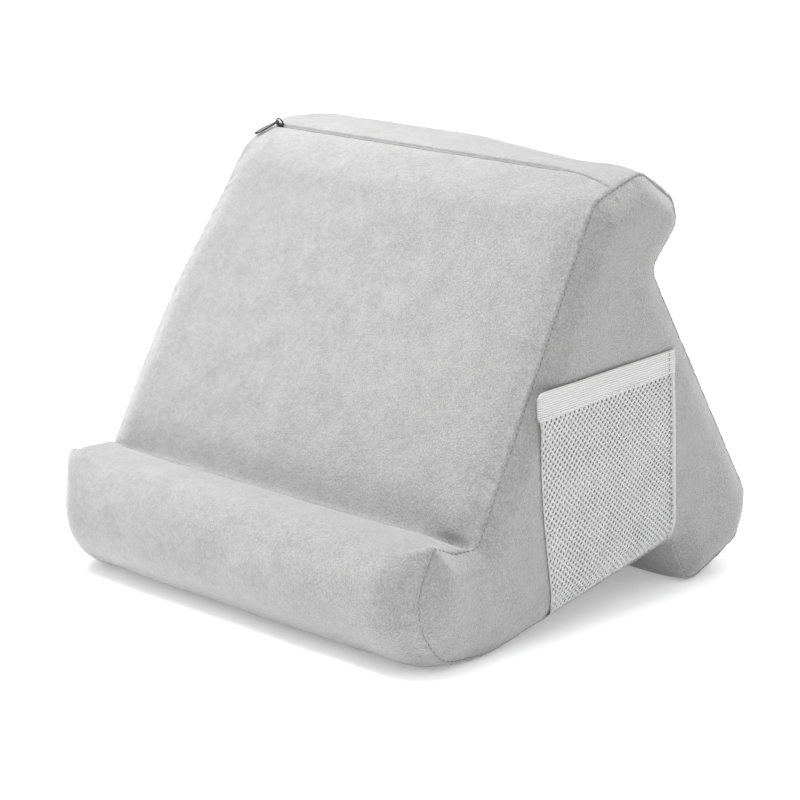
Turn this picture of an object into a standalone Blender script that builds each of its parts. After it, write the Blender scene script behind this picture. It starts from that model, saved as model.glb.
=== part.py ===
"""Soft pillow tablet stand: a foam block in a zipped plush cover, with a mesh pocket on its right.

Metres, +Z up. The stand's cross-section lies in the YZ plane, its front lip towards -Y,
and it runs along X. The origin is under the middle of its box, on the surface it stands on.
"""

import math

import bmesh
import bpy
from mathutils import Vector

# Driving dimensions
WIDTH = 0.270  # outside the two side panels
CLOTH = 0.0020  # cover cloth with its pile
GAP = 0.0003  # clearance between pieces that touch
SEAM = 0.0012  # channel left at each seam, which holds its thread
THREAD_RADIUS = 0.0003
ARC_STEP = math.radians(13)

# Corners of the cross-section as (y, z, fillet radius): down the face, under the stand, up the back
FACE_TOP = (0.0040, 0.2410, 0.050)
VALLEY = (-0.0920, 0.0610, 0.007)
LIP_TOP = (-0.1416, 0.0700, 0.022)
LIP_BOTTOM = (-0.1416, 0.0000, 0.030)
BASE_START = (-0.0860, 0.0000, 0.060)
BASE_NOTCH = (0.0720, 0.0300, 0.006)
FOOT_FRONT = (0.0870, 0.0000, 0.006)
FOOT_BOTTOM = (0.1040, 0.0000, 0.030)
FOOT_REAR_LOW = (0.1350, 0.0100, 0.020)
FOOT_REAR_HIGH = (0.1440, 0.0380, 0.024)
NECK = (0.0530, 0.1830, 0.012)
HEAD_REAR_LOW = (0.0740, 0.2060, 0.014)
HEAD_REAR_TOP = (0.0690, 0.2410, 0.028)
SECTION = [
    FACE_TOP, VALLEY, LIP_TOP, LIP_BOTTOM, BASE_START, BASE_NOTCH, FOOT_FRONT,
    FOOT_BOTTOM, FOOT_REAR_LOW, FOOT_REAR_HIGH, NECK, HEAD_REAR_LOW, HEAD_REAR_TOP,
]

# Where the cross-section is seamed, as (y, z) close to the outline
TOP_SEAM = (0.0170, 0.2377)
VALLEY_SEAM = (-0.0935, 0.0635)
BASE_FRONT_SEAM = (-0.0780, 0.0010)
BASE_REAR_SEAM = (0.0940, 0.0000)

# Zip, along X in the top seam; its own frame has z out of the cloth and y up the slope
SLIT = 0.0016  # between the two folded cloth edges
ZIP_LEFT = -0.1200
ZIP_RIGHT = 0.0930
TAPE_WIDTH = 0.0080
TAPE_THICK = 0.0005
COIL_RADIUS = 0.0009
COIL_OFFSET = 0.0017
STOP_LENGTH = 0.0020
SLIDER_LENGTH = 0.0060
SLIDER_X = ZIP_LEFT + SLIDER_LENGTH / 2
NECK_THICK = 0.0009
ARCH_RADIUS = 0.0025
ARCH_WIRE = 0.00045
ARCH_HEIGHT = 0.0019  # of the arch's centre, which is the pull tab's hinge axis
ARCH_FOOT = 0.0008  # where the arch's wire runs into the cap
ARCH_STEPS = 12
PLATE_THICK = 0.0010  # of the slider's lower plate
WING_THICK = 0.0007
WING_CLEAR = 0.0002  # between the slider's wings and the tapes above them
CAP_LOW = 0.00035  # above the cloth's outline
CAP_TOP = 0.0011
CAP_HALF = 0.0013
CAP_EASE = 0.0001
TAPE_BEYOND = 0.0005  # of the tapes past the zip's stops
THREAD_BEYOND = 0.0015  # from the zip's stops to the top seam's threads
FOAM_CHANNEL_DEPTH = 0.0076
FOAM_CHANNEL_WIDTH = 0.0190
FOAM_CHANNEL_BEYOND = 0.0030  # past the zip's stops
FOAM_CHANNEL_TOP = 0.0020  # above the outline, so the cut is clean

# Pull tab, a drop-shaped plate with an eye
TAB_LENGTH = 0.0128  # eye centre to tip
TAB_THICK = 0.0008
TAB_EYE_OUTER = 0.0016
TAB_EYE_HOLE = 0.0009
TAB_NECK_HALF = 0.0006
TAB_BODY_HALF = 0.0015
TAB_YAW = math.radians(62)  # off the zip's line, down the face
TAB_DROOP = math.radians(8)
TAB_STEPS = 30
TAB_EYE_STEPS = 16

# Pocket, on the right side panel: corners as (y, z)
POCKET_DEPTH = 0.0062  # from the side panel to the pocket's outer face
MESH_THICK = 0.0008
BAND_THICK = 0.0011
POCKET_TOP_FRONT = (-0.0488, 0.1364)
POCKET_TOP_REAR = (0.0580, 0.1421)
POCKET_BOTTOM_REAR = (0.0640, 0.0310)
POCKET_BOTTOM_FRONT = (-0.0370, 0.0120)
BAND_HEIGHT = 0.0152
BINDING_WIDTH = 0.0060
BINDING_THICK = 0.0010
BINDING_RAISED = 0.0040  # its lower end, above the pocket's
BAND_STITCH_RAISED = 0.0012  # above the band's lower edge

HALF_WIDTH = WIDTH / 2
STRIP_HALF = HALF_WIDTH - CLOTH - SEAM
ZIP_TILT = math.radians(21)  # how far the cloth has already turned towards the face at the zip


def clear_scene():
    for obj in list(bpy.data.objects):
        bpy.data.objects.remove(obj, do_unlink=True)


def new_collection(name):
    collection = bpy.data.collections.new(name)
    bpy.context.scene.collection.children.link(collection)
    return collection


def material(name, colour, roughness, metallic=0.0):
    made = bpy.data.materials.new(name)
    made.use_nodes = True
    shader = made.node_tree.nodes["Principled BSDF"]
    shader.inputs["Base Color"].default_value = (*colour, 1.0)
    shader.inputs["Roughness"].default_value = roughness
    shader.inputs["Metallic"].default_value = metallic
    return made


# Outlines in the YZ plane


def fillet(before, corner, after, radius):
    """Points of the arc that rounds a corner, from one tangent point to the other."""
    corner = Vector(corner)
    towards_before = (Vector(before) - corner).normalized()
    towards_after = (Vector(after) - corner).normalized()
    turn = math.pi - towards_before.angle(towards_after)
    tangent = radius * math.tan(turn / 2)
    centre = corner + (towards_before + towards_after).normalized() * radius / math.cos(turn / 2)
    start = corner + towards_before * tangent - centre
    side = 1.0 if towards_before.cross(towards_after) < 0 else -1.0
    steps = max(2, round(turn / ARC_STEP))
    points = []
    for step in range(steps + 1):
        angle = side * turn * step / steps
        turned = Vector((
            start.x * math.cos(angle) - start.y * math.sin(angle),
            start.x * math.sin(angle) + start.y * math.cos(angle),
        ))
        points.append(centre + turned)
    return points


def section_outline():
    points = []
    count = len(SECTION)
    for index, corner in enumerate(SECTION):
        before = SECTION[index - 1]
        after = SECTION[(index + 1) % count]
        points += fillet(before[:2], corner[:2], after[:2], corner[2])
    return points


def inset(points, depth):
    """The closed outline moved inwards by depth; the outline runs with its inside on its left."""
    moved = []
    count = len(points)
    for index, point in enumerate(points):
        one = (point - points[index - 1]).normalized()
        two = (points[(index + 1) % count] - point).normalized()
        inwards = (Vector((-one.y, one.x)) + Vector((-two.y, two.x))).normalized()
        stretch = 1 / max(0.5, inwards.dot(Vector((-one.y, one.x))))
        moved.append(point + inwards * depth * stretch)
    return moved


def lengths_along(points):
    """Distance along the closed outline at each point, ending with the whole way round."""
    total = [0.0]
    for index, point in enumerate(points):
        total.append(total[-1] + (points[(index + 1) % len(points)] - point).length)
    return total


def place_on(points, target):
    """Distance along the closed outline of its closest place to a target."""
    lengths = lengths_along(points)
    target = Vector(target)
    best = None
    for index, point in enumerate(points):
        edge = points[(index + 1) % len(points)] - point
        share = min(1.0, max(0.0, (target - point).dot(edge) / edge.length_squared))
        distance = (point + edge * share - target).length
        if best is None or distance < best[0]:
            best = (distance, lengths[index] + edge.length * share)
    return best[1]


def point_at(points, distance):
    lengths = lengths_along(points)
    distance %= lengths[-1]
    for index, point in enumerate(points):
        if distance <= lengths[index + 1]:
            following = points[(index + 1) % len(points)]
            share = (distance - lengths[index]) / (lengths[index + 1] - lengths[index])
            return point.lerp(following, share)
    return points[0].copy()


def stretch_of(points, start, end):
    """The open run of a closed outline between two distances along it."""
    lengths = lengths_along(points)
    whole = lengths[-1]
    if end < start:
        end += whole
    run = [point_at(points, start)]
    for lap in (0, 1):
        for index, point in enumerate(points):
            distance = lengths[index] + lap * whole
            if start + 1e-5 < distance < end - 1e-5:
                run.append(point.copy())
    run.append(point_at(points, end))
    return run


def panel_run(points, first, second, clear_first, clear_second):
    """The stretch between two seams, short of each by its clearance."""
    start = place_on(points, first) + clear_first
    return stretch_of(points, start, place_on(points, second) - clear_second)


# Solids


def add_object(name, mesh, look, parent, collection):
    obj = bpy.data.objects.new(name, mesh)
    collection.objects.link(obj)
    mesh.materials.append(look)
    obj.parent = parent
    return obj


def solidify(obj, thickness):
    shell = obj.modifiers.new("thickness", "SOLIDIFY")
    shell.thickness = thickness
    shell.offset = -1.0
    shell.use_even_offset = True


def ribbon(name, run, left, right, thickness, look, parent, collection):
    """Cloth along an outline's run, from left to right in X, thickened inwards."""
    mesh = bpy.data.meshes.new(name)
    vertices = [(x, point.x, point.y) for point in run for x in (left, right)]
    faces = [(2 * i, 2 * i + 2, 2 * i + 3, 2 * i + 1) for i in range(len(run) - 1)]
    mesh.from_pydata(vertices, [], faces)
    mesh.update()
    obj = add_object(name, mesh, look, parent, collection)
    solidify(obj, thickness)
    mesh.shade_smooth()
    mesh.set_sharp_from_angle(angle=math.radians(40))
    return obj


def flat_curve(name, outlines, thickness):
    """A flat plate in a curve's XY plane; every outline after the first is a hole."""
    curve = bpy.data.curves.new(name, "CURVE")
    curve.dimensions = "2D"
    curve.fill_mode = "BOTH"
    curve.extrude = thickness / 2
    for outline in outlines:
        spline = curve.splines.new("POLY")
        spline.points.add(len(outline) - 1)
        for spot, point in zip(spline.points, outline):
            spot.co = (point[0], point[1], 0.0, 1.0)
        spline.use_cyclic_u = True
    return curve


def mesh_of(curve, name):
    """The curve's solid as a mesh with its caps welded."""
    guide = bpy.data.objects.new(name + "_guide", curve)
    bpy.context.scene.collection.objects.link(guide)
    graph = bpy.context.evaluated_depsgraph_get()
    mesh = bpy.data.meshes.new_from_object(guide.evaluated_get(graph))
    bpy.data.objects.remove(guide, do_unlink=True)
    shape = bmesh.new()
    shape.from_mesh(mesh)
    bmesh.ops.remove_doubles(shape, verts=shape.verts, dist=0.00001)
    bmesh.ops.recalc_face_normals(shape, faces=shape.faces)
    shape.to_mesh(mesh)
    shape.free()
    mesh.name = name
    return mesh


def slab(name, outline, low, high, look, parent, collection):
    """A YZ outline made solid between two places in X."""
    mesh = mesh_of(flat_curve(name, [outline], high - low), name)
    obj = add_object(name, mesh, look, parent, collection)
    obj.rotation_euler = (math.pi / 2, 0.0, math.pi / 2)
    obj.location.x = (low + high) / 2
    return obj


def tube(name, points, radius, look, parent, collection, closed=False, sides=1):
    curve = bpy.data.curves.new(name, "CURVE")
    curve.dimensions = "3D"
    curve.bevel_depth = radius
    curve.bevel_resolution = sides
    curve.use_fill_caps = not closed
    spline = curve.splines.new("POLY")
    spline.points.add(len(points) - 1)
    for spot, point in zip(spline.points, points):
        spot.co = (*point, 1.0)
    spline.use_cyclic_u = closed
    return add_object(name, mesh_of(curve, name), look, parent, collection)


def box(name, low, high, look, parent, collection):
    mesh = bpy.data.meshes.new(name)
    shape = bmesh.new()
    bmesh.ops.create_cube(shape, size=1.0)
    size = Vector(high) - Vector(low)
    bmesh.ops.scale(shape, vec=size, verts=shape.verts)
    bmesh.ops.translate(shape, vec=(Vector(low) + Vector(high)) / 2, verts=shape.verts)
    shape.to_mesh(mesh)
    shape.free()
    return add_object(name, mesh, look, parent, collection)


def boolean(obj, other, operation):
    cut = obj.modifiers.new(operation.lower(), "BOOLEAN")
    cut.operation = operation
    cut.solver = "EXACT"
    cut.object = other
    other.hide_render = True
    other.display_type = "WIRE"


# Sub-parts of the cover and its filling


def make_cover(outline, looks, frame, parts):
    seam = SEAM / 2
    runs = {
        "face_panel": (TOP_SEAM, VALLEY_SEAM, SLIT / 2, seam),
        "lip_panel": (VALLEY_SEAM, BASE_FRONT_SEAM, seam, seam),
        "base_panel": (BASE_FRONT_SEAM, BASE_REAR_SEAM, seam, seam),
        "back_panel": (BASE_REAR_SEAM, TOP_SEAM, seam, SLIT / 2),
    }
    for name, (first, second, clear_first, clear_second) in runs.items():
        run = panel_run(outline, first, second, clear_first, clear_second)
        ribbon(name, run, -STRIP_HALF, STRIP_HALF, CLOTH, looks["plush"], frame, parts)
    inner = HALF_WIDTH - CLOTH
    slab("left_side_panel", outline, -HALF_WIDTH, -inner, looks["plush"], frame, parts)
    slab("right_side_panel", outline, inner, HALF_WIDTH, looks["plush"], frame, parts)


def make_foam(outline, looks, frame, zip_frame, parts, cutters):
    core = inset(outline, CLOTH + GAP)
    reach = HALF_WIDTH - CLOTH - GAP
    foam = slab("foam_core", core, -reach, reach, looks["foam"], frame, parts)
    half = FOAM_CHANNEL_WIDTH / 2
    left = ZIP_LEFT - STOP_LENGTH - FOAM_CHANNEL_BEYOND
    right = ZIP_RIGHT + STOP_LENGTH + FOAM_CHANNEL_BEYOND
    low = (left, -half, -FOAM_CHANNEL_DEPTH)
    high = (right, half, FOAM_CHANNEL_TOP)
    channel = box("zip_channel", low, high, looks["foam"], zip_frame, cutters)
    boolean(foam, channel, "DIFFERENCE")


def make_seam_threads(outline, looks, frame, parts):
    """One continuous thread for each seam, in the middle of the cloth's thickness."""
    middle = inset(outline, CLOTH / 2)
    place = STRIP_HALF + SEAM / 2
    for name, x in (("left_side_seam_thread", -place), ("right_side_seam_thread", place)):
        loop = [(x, point.x, point.y) for point in middle]
        tube(name, loop, THREAD_RADIUS, looks["thread"], frame, parts, closed=True)
    end = STRIP_HALF - GAP
    outside = STOP_LENGTH + THREAD_BEYOND
    across = {
        "valley_seam_thread": (VALLEY_SEAM, -end, end),
        "base_front_seam_thread": (BASE_FRONT_SEAM, -end, end),
        "base_rear_seam_thread": (BASE_REAR_SEAM, -end, end),
        "top_left_seam_thread": (TOP_SEAM, -end, ZIP_LEFT - outside),
        "top_right_seam_thread": (TOP_SEAM, ZIP_RIGHT + outside, end),
    }
    for name, (seam, left, right) in across.items():
        spot = point_at(middle, place_on(middle, seam))
        ends = [(left, spot.x, spot.y), (right, spot.x, spot.y)]
        tube(name, ends, THREAD_RADIUS, looks["thread"], frame, parts)


# Zip


def make_zip(outline, looks, frame, zip_frame, parts):
    under = inset(outline, CLOTH + GAP)
    seam = place_on(under, TOP_SEAM)
    clear = SLIT / 2
    sides = {
        "zip_tape_front": (seam + clear, seam + clear + TAPE_WIDTH),
        "zip_tape_rear": (seam - clear - TAPE_WIDTH, seam - clear),
    }
    left = ZIP_LEFT - STOP_LENGTH - TAPE_BEYOND
    right = ZIP_RIGHT + STOP_LENGTH + TAPE_BEYOND
    for name, (start, end) in sides.items():
        run = stretch_of(under, start, end)
        ribbon(name, run, left, right, TAPE_THICK, looks["zip_tape"], frame, parts)
    height = -(CLOTH + GAP + TAPE_THICK + GAP + COIL_RADIUS)
    for name, y in (("zip_coil_front", -COIL_OFFSET), ("zip_coil_rear", COIL_OFFSET)):
        ends = [(ZIP_LEFT, y, height), (ZIP_RIGHT, y, height)]
        tube(name, ends, COIL_RADIUS, looks["zip_coil"], zip_frame, parts, sides=2)
    half = COIL_OFFSET + COIL_RADIUS
    for name, start in (
        ("zip_end_stop", ZIP_LEFT - GAP - STOP_LENGTH),
        ("zip_start_stop", ZIP_RIGHT + GAP),
    ):
        low = (start, -half, height - COIL_RADIUS)
        high = (start + STOP_LENGTH, half, height + COIL_RADIUS)
        box(name, low, high, looks["zip_metal"], zip_frame, parts)


def slider_section():
    """The slider's section across the zip: wings round the coils, neck, and cap above the cloth."""
    coil_low = -(CLOTH + 2 * GAP + TAPE_THICK + 2 * COIL_RADIUS)
    plate_top = coil_low - GAP
    plate_low = plate_top - PLATE_THICK
    wing_in = COIL_OFFSET + COIL_RADIUS + GAP
    wing_out = wing_in + WING_THICK
    wing_top = -(CLOTH + 2 * GAP + TAPE_THICK + WING_CLEAR)
    neck = NECK_THICK / 2
    right = [
        (wing_out, plate_low), (wing_out, wing_top), (wing_in, wing_top), (wing_in, plate_top),
        (neck, plate_top), (neck, CAP_LOW - CAP_EASE), (CAP_HALF, CAP_LOW), (CAP_HALF, CAP_TOP),
    ]
    return right + [(-y, z) for y, z in reversed(right)]


def make_slider(looks, slider_frame, parts, cutters):
    half = SLIDER_LENGTH / 2
    metal = looks["zip_metal"]
    slider = slab("zip_slider", slider_section(), -half, half, metal, slider_frame, parts)
    points = [(-ARCH_RADIUS, 0.0, ARCH_FOOT)]
    for step in range(ARCH_STEPS + 1):
        angle = math.pi * step / ARCH_STEPS
        x = -ARCH_RADIUS * math.cos(angle)
        z = ARCH_HEIGHT + ARCH_RADIUS * math.sin(angle)
        points.append((x, 0.0, z))
    points.append((ARCH_RADIUS, 0.0, ARCH_FOOT))
    arch = tube("slider_arch", points, ARCH_WIRE, metal, slider_frame, cutters, sides=2)
    boolean(slider, arch, "UNION")


def tab_half_width(u):
    """Half the tab's width at a distance u from its eye's centre towards its tip."""
    ring = math.sqrt(max(0.0, TAB_EYE_OUTER**2 - u**2))
    share = (u - TAB_EYE_OUTER) / (TAB_LENGTH - TAB_EYE_OUTER)
    if share <= 0:
        return ring if u < 0 else max(ring, TAB_NECK_HALF)
    drop = math.sin(math.pi * share**1.5) ** 0.8 if share < 0.999 else 0.0
    round_tip = math.sqrt(max(0.0, 1 - share**8))
    return TAB_NECK_HALF * round_tip + (TAB_BODY_HALF - TAB_NECK_HALF) * drop


def make_pull_tab(looks, tab_frame, parts):
    whole = TAB_LENGTH + TAB_EYE_OUTER
    shares = [(1 - math.cos(math.pi * i / TAB_STEPS)) / 2 for i in range(TAB_STEPS + 1)]
    spots = [whole * share - TAB_EYE_OUTER for share in shares]
    upper = [(u, tab_half_width(u)) for u in spots[1:-1]]
    lower = [(u, -v) for u, v in reversed(upper)]
    outline = [(spots[0], 0.0)] + upper + [(spots[-1], 0.0)] + lower
    hole = []
    for step in range(TAB_EYE_STEPS):
        angle = -2 * math.pi * step / TAB_EYE_STEPS
        hole.append((TAB_EYE_HOLE * math.cos(angle), TAB_EYE_HOLE * math.sin(angle)))
    mesh = mesh_of(flat_curve("zip_pull_tab", [outline, hole], TAB_THICK), "zip_pull_tab")
    tab = add_object("zip_pull_tab", mesh, looks["zip_metal"], tab_frame, parts)
    tab.location.x = -ARCH_RADIUS
    tab.rotation_euler = (0.0, TAB_DROOP, math.pi + TAB_YAW)


# Pocket


def between(one, two, share):
    return tuple(a + (b - a) * share for a, b in zip(one, two))


def pocket_shell(name, corners, walls, thickness, look, frame, parts):
    """An outer face with walls back to the side panel along some edges, thickened inwards."""
    outer_x = HALF_WIDTH + POCKET_DEPTH
    inner_x = HALF_WIDTH + GAP
    count = len(corners)
    vertices = [(outer_x, *corner) for corner in corners]
    vertices += [(inner_x, *corner) for corner in corners]
    faces = [tuple(range(count))]
    for edge in walls:
        following = (edge + 1) % count
        faces.append((following, edge, edge + count, following + count))
    mesh = bpy.data.meshes.new(name)
    mesh.from_pydata(vertices, [], faces)
    shape = bmesh.new()
    shape.from_mesh(mesh)
    loose = [vertex for vertex in shape.verts if not vertex.link_faces]
    bmesh.ops.delete(shape, geom=loose, context="VERTS")
    shape.to_mesh(mesh)
    shape.free()
    obj = add_object(name, mesh, look, frame, parts)
    solidify(obj, thickness)
    return obj


def make_pocket(looks, frame, parts):
    height = POCKET_TOP_FRONT[1] - POCKET_BOTTOM_FRONT[1]
    front_share = BAND_HEIGHT / height
    rear_share = BAND_HEIGHT / (POCKET_TOP_REAR[1] - POCKET_BOTTOM_REAR[1])
    band_front = between(POCKET_TOP_FRONT, POCKET_BOTTOM_FRONT, front_share)
    band_rear = between(POCKET_TOP_REAR, POCKET_BOTTOM_REAR, rear_share)
    mesh_front = (band_front[0], band_front[1] - GAP)
    mesh_rear = (band_rear[0], band_rear[1] - GAP)
    mesh_corners = [mesh_front, POCKET_BOTTOM_FRONT, POCKET_BOTTOM_REAR, mesh_rear]
    band_corners = [POCKET_TOP_FRONT, band_front, band_rear, POCKET_TOP_REAR]
    mesh, elastic = looks["mesh"], looks["elastic"]
    pocket_shell("pocket_mesh", mesh_corners, (0, 1, 2), MESH_THICK, mesh, frame, parts)
    pocket_shell("pocket_elastic_band", band_corners, (0, 2), BAND_THICK, elastic, frame, parts)
    start = (POCKET_TOP_REAR[0] + GAP, POCKET_TOP_REAR[1])
    end = (POCKET_BOTTOM_REAR[0] + GAP, POCKET_BOTTOM_REAR[1] + BINDING_RAISED)
    strip = [start, end, (end[0] + BINDING_WIDTH, end[1]), (start[0] + BINDING_WIDTH, start[1])]
    low = HALF_WIDTH + GAP
    slab("pocket_rear_binding", strip, low, low + BINDING_THICK, looks["binding"], frame, parts)
    return {
        "front": (POCKET_TOP_FRONT, POCKET_BOTTOM_FRONT),
        "rear": (start, end),
        "band": (band_front, band_rear),
    }


def make_pocket_threads(lines, looks, frame, parts):
    proud = THREAD_RADIUS + GAP
    binding_x = HALF_WIDTH + GAP + BINDING_THICK + proud
    face_x = HALF_WIDTH + POCKET_DEPTH + proud
    middle = BINDING_WIDTH / 2
    rear = [(binding_x, y + middle, z) for y, z in lines["rear"]]
    tube("pocket_rear_stitching", rear, THREAD_RADIUS, looks["thread"], frame, parts)
    band = [(face_x, y, z + BAND_STITCH_RAISED) for y, z in lines["band"]]
    tube("pocket_band_stitching", band, THREAD_RADIUS, looks["thread"], frame, parts)
    front = [(HALF_WIDTH + proud, y - proud, z) for y, z in lines["front"]]
    tube("pocket_front_stitching", front, THREAD_RADIUS, looks["thread"], frame, parts)


def make_looks():
    return {
        "plush": material("plush", (0.58, 0.58, 0.58), 0.95),
        "foam": material("foam", (0.85, 0.83, 0.76), 0.9),
        "mesh": material("pocket_mesh", (0.66, 0.66, 0.65), 0.8),
        "elastic": material("elastic", (0.74, 0.74, 0.74), 0.75),
        "binding": material("binding", (0.66, 0.66, 0.66), 0.85),
        "thread": material("thread", (0.55, 0.55, 0.55), 0.8),
        "zip_tape": material("zip_tape", (0.50, 0.50, 0.51), 0.85),
        "zip_coil": material("zip_coil", (0.45, 0.45, 0.46), 0.45),
        "zip_metal": material("zip_metal", (0.045, 0.047, 0.050), 0.35, 0.9),
    }


def add_frame(name, parent, location, tilt=0.0):
    empty = bpy.data.objects.new(name, None)
    bpy.context.scene.collection.objects.link(empty)
    empty.parent = parent
    empty.location = location
    empty.rotation_euler = (tilt, 0.0, 0.0)
    return empty


def main():
    clear_scene()
    parts = new_collection("tablet_stand")
    cutters = new_collection("cutters")
    cutters.hide_render = True
    looks = make_looks()
    outline = section_outline()
    seam = point_at(outline, place_on(outline, TOP_SEAM))
    middle = -(POCKET_DEPTH + GAP + 2 * THREAD_RADIUS) / 2
    frame = add_frame("stand_frame", None, (middle, 0.0, 0.0))
    zip_frame = add_frame("zip_frame", frame, (0.0, *seam), ZIP_TILT)
    slider_frame = add_frame("slider_frame", zip_frame, (SLIDER_X, 0.0, 0.0))
    tab_frame = add_frame("tab_hinge", slider_frame, (0.0, 0.0, ARCH_HEIGHT))
    make_cover(outline, looks, frame, parts)
    make_foam(outline, looks, frame, zip_frame, parts, cutters)
    make_seam_threads(outline, looks, frame, parts)
    make_zip(outline, looks, frame, zip_frame, parts)
    make_slider(looks, slider_frame, parts, cutters)
    make_pull_tab(looks, tab_frame, parts)
    make_pocket_threads(make_pocket(looks, frame, parts), looks, frame, parts)


main()
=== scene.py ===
"""Looks of the soft pillow tablet stand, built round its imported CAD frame.

Lengths are in millimetres from the cushion's middle plane until put() moves them into the
row frame. The cushion's cross-section lies in YZ, its lip towards -Y, and X runs along it.
"""

import math

import bpy
import numpy as np
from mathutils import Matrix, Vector, noise
from mathutils.geometry import delaunay_2d_cdt


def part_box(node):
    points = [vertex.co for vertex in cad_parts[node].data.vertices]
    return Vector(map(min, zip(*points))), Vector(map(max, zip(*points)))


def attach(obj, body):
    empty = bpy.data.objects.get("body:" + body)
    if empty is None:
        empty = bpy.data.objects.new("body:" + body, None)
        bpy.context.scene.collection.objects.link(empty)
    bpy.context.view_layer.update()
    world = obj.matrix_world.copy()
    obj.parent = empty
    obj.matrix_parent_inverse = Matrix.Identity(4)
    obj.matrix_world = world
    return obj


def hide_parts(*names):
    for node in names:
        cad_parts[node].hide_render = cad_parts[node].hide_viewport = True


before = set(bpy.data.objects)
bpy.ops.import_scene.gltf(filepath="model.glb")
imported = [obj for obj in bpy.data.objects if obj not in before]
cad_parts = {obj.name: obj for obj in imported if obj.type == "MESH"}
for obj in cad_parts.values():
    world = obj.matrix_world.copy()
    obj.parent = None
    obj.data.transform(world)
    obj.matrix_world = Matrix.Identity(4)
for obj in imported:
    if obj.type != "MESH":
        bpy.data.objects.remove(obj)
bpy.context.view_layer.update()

MM = 0.001
MIDDLE = (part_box("left_side_panel")[0][0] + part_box("right_side_panel")[1][0]) / 2

# ---- the cushion's sizes

# Cross-section at mid-width and along the side seams, as (name, y, z, fillet radius). It runs
# down the face, under the stand and up the back, with its inside on its left. Corners with the
# same name answer each other.
MIDDLE_SECTION = [
    ("face_top", 4.0, 241.0, 50.0),
    ("valley", -92.5, 60.0, 4.0),
    ("", -106.5, 68.2, 9.0),
    ("lip_top", -141.6, 70.5, 22.0),
    ("lip_bottom", -141.6, 0.0, 37.0),
    ("base_start", -86.0, 0.0, 60.0),
    ("notch", 72.0, 30.0, 6.0),
    ("foot_front", 87.0, 0.0, 6.0),
    ("foot_bottom", 104.0, 0.0, 30.0),
    ("foot_low", 135.0, 10.0, 20.0),
    ("foot_high", 144.0, 38.0, 24.0),
    ("neck", 53.0, 183.0, 12.0),
    ("head_low", 74.0, 206.0, 14.0),
    ("head_top", 69.0, 241.0, 28.0),
]
SEAM_SECTION = [
    ("face_top", 0.6, 226.2, 16.0),
    ("valley", -87.0, 60.3, 6.0),
    ("", -105.0, 62.0, 8.0),
    ("lip_top", -118.8, 68.4, 1.2),
    ("", -137.0, 37.3, 34.0),
    ("lip_bottom", -113.0, 5.5, 22.0),
    ("base_start", -76.0, 2.5, 60.0),
    ("notch", 71.5, 30.0, 6.0),
    ("foot_front", 87.2, 2.5, 6.0),
    ("foot_bottom", 96.0, 3.0, 20.0),
    ("foot_low", 133.0, 17.5, 18.0),
    ("foot_high", 138.5, 41.5, 16.0),
    ("neck", 47.5, 185.0, 10.0),
    ("head_low", 69.5, 207.5, 9.0),
    ("head_top", 64.0, 221.0, 12.0),
    ("", 38.0, 238.5, 10.0),
]
# Cross seams, as (y, z) near the outline at mid-width and at the side seams
CROSS_SEAMS = {
    "top": ((17.0, 237.5), (14.4, 230.3)),
    "valley": ((-93.2, 62.6), (-92.0, 60.8)),
    "base_front": ((-78.0, 1.0), (-78.0, 3.0)),
    "base_rear": ((94.0, 0.0), (94.0, 3.0)),
}
# Panels between two cross seams, with the corners they pass
PANELS = {
    "face": ("top", "valley", []),
    "lip": ("valley", "base_front", ["lip_top", "lip_bottom"]),
    "base": ("base_front", "base_rear", ["notch", "foot_front"]),
    "back": ("base_rear", "top", ["foot_bottom", "foot_low", "foot_high", "neck", "head_low", "head_top"]),
}

SEAM_X = 134.0  # side seams, each side of the middle plane
ROLL = 1.6  # radius of the cloth's turn into a seam
CLOTH = 1.2
SLIT_HALF = 0.8
SLIT_OPEN = 0.5  # how far each edge stands back from the zip's line
SLIT_ROLL = 1.2
SLIT_REACH = 3.0
SIDE_TURN = 17.0  # width of the side panels' turn out of their seams
SIDE_RISE = {-1: 1.8, 1: 5.2}  # and its height, on the left and on the right
TURN_POWER = 2.3  # roundness of that turn, and of the strips' pull towards the side seams
CROWN_REACH = 10.0
SLACK_PITCH = 5.5  # of the grid that the strips settle on
SLACK_GROWTH = 0.02  # how much too large the cloth is
SIDE_SLACK_GROWTH = 0.015
SLACK_LIMIT = 1.8  # the furthest that settled cloth stands off its plain surface
SIDE_SLACK_LIMIT = 0.8
SIDE_CREASES = 2.4  # depth of the creases across the side seams
SIDE_CREASE_SHARE = 0.6  # of that depth, on the side panels
PULL_LEFT = 17.0  # how far in from each side seam the strips are pulled towards it
PULL_RIGHT = 27.0
BAND_CLIMB = math.radians(1.9)
CROSS_CREASES = {"top": 0.5, "valley": 0.9, "base_front": 0.8, "base_rear": 0.8}
# How far each seam holds the cloth flat, the side seams for each panel
QUIET = {"top": 32.0, "valley": 24.0, "base_front": 10.0, "base_rear": 10.0}
SIDE_QUIET = {"face": 12.0, "lip": 12.0, "base": 12.0, "back": 24.0}
VALLEY_DENT = 4.6  # where the cloth is drawn in at each end of the valley
DENT_FROM_SIDE = 13.0
DENT_WIDTH = 12.0
DENT_REACH = 4.8
ZIP_LEFT = -121.0
ZIP_RIGHT = 96.0
SPACING = 2.4  # of the cloth's grid across the stand and inside the side panels
FINE = 1.35  # and along the side seams, fine enough for their creases
SETTLE_SCALE = 10  # the cloth settles this much larger than life
SETTLE_FRAMES = 20
SETTLE_SETTINGS = {
    "quality": 6,
    "vertex_group_mass": "held",
    "tension_stiffness": 30.0,
    "compression_stiffness": 30.0,
    "bending_stiffness": 0.6,
    "use_pressure": True,
    "uniform_pressure_force": 4.0,
}


def smooth(low, high, value):
    """A soft step from 0 at low to 1 at high."""
    share = np.clip((value - low) / (high - low), 0.0, 1.0)
    return share * share * (3 - 2 * share)


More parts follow.
